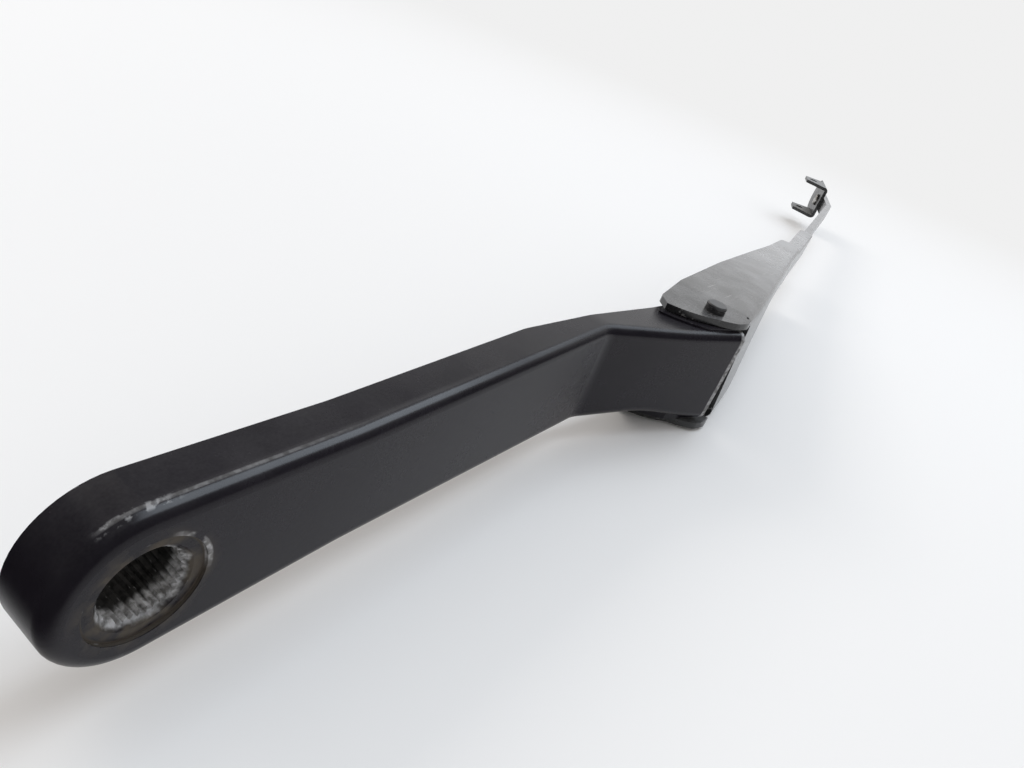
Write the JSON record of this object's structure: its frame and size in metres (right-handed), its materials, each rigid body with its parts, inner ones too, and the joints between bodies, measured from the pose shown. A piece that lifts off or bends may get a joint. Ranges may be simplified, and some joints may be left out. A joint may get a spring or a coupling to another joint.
{
  "type": "wiper arm",
  "caption": "Sprung windscreen wiper arm: long black mounting head with a serrated taper socket, riveted hinge, tapered channel retainer, flat rod and U saddle for the blade.",
  "frame": {"origin": "on the spindle axis, in the middle of the plain lead-in bore of the mounting head's socket", "axes": "+X along the mounting head from the spindle to the hinge, +Y towards the windscreen along the spindle axis, +Z along the hinge axis; the arm lies on its side"},
  "size_m": [0.5914, 0.0896, 0.039],
  "materials": {
    "head_paint": "satin",
    "arm_paint": "satin",
    "pin_paint": "satin",
    "saddle_paint": "satin",
    "steel": "satin",
    "bush": "satin"
  },
  "bodies": {
    "head": {"mounting_head": "head_paint", "anchor_pin": "steel", "hinge_bushes": "bush"},
    "arm": {"retainer": "arm_paint", "hinge_pin": "pin_paint", "arm_rod": "arm_paint", "blade_saddle": "saddle_paint", "saddle_rivet": "steel"},
    "link": {"spring_link": "steel", "tension_spring": "steel"}
  },
  "joints": [
    {"name": "arm_hinge", "type": "hinge", "parent": "head", "child": "arm", "pos_m": [0.16361, -0.0206, 0], "axis": [0, 0, -1], "range_deg": [0, 60], "stiffness_Nm_per_rad": 0.4, "springref_deg": -85.94},
    {"name": "link_pivot", "type": "hinge", "parent": "head", "child": "link", "pos_m": [0.15521, -0.01436, 0], "axis": [0, 0, -1], "range_deg": [0, 56], "deforming": ["tension_spring"]}
  ],
  "couplings": [
    {"joint": "link_pivot", "follows": "arm_hinge", "ratio": 0.923}
  ]
}
